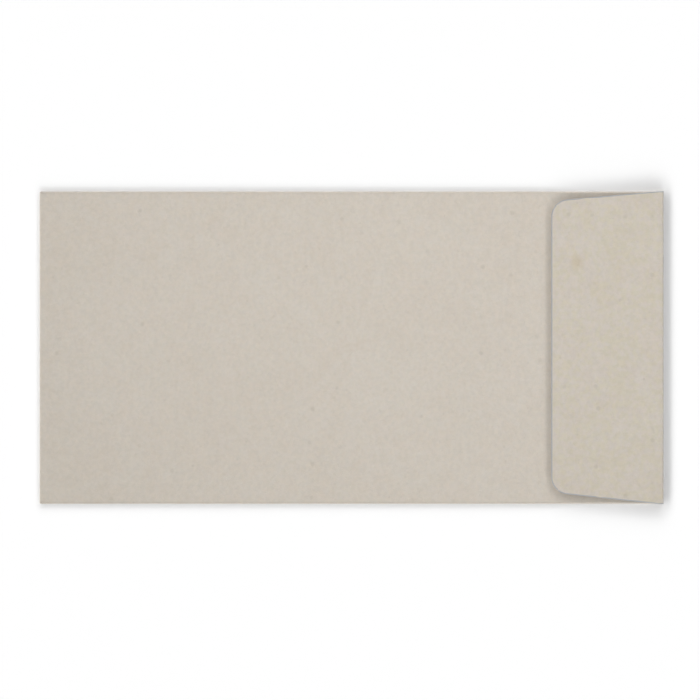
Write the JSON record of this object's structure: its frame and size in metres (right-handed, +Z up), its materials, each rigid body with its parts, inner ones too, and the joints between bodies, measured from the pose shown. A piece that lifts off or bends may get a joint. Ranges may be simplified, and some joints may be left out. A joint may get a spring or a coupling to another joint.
{
  "type": "envelope",
  "caption": "Unprinted pocket envelope of recycled grey paper, with a gummed closing flap that turns on a rolled fold at its short end and glued side flaps inside.",
  "frame": {"origin": "middle of the address side, on the surface that the envelope lies on", "axes": "+X towards the closing flap, along the length; +Y towards the far side; +Z up, out of the back panel"},
  "size_m": [0.22, 0.11, 0.0025],
  "materials": {
    "paper": "uncoated recycled paper with fine flecks",
    "seam_glue": "dried dextrin glue",
    "gum": "dried remoistenable gum, slightly glossy"
  },
  "bodies": {
    "pocket": {"front_panel": "paper", "back_panel": "paper", "bottom_fold": "paper", "far_side_flap": "paper", "near_side_flap": "paper", "far_side_fold": "paper", "near_side_fold": "paper", "far_seam_glue": "seam_glue", "near_seam_glue": "seam_glue", "flap_fold": "paper"},
    "flap": {"closing_flap": "paper", "closing_gum": "gum"}
  },
  "joints": [
    {"name": "flap_hinge", "type": "hinge", "parent": "pocket", "child": "flap", "pos_m": [0.10877, 0, 0.00122], "axis": [0, 1, 0], "range_deg": [-1.7, 178], "deforming": ["flap_fold"]}
  ]
}
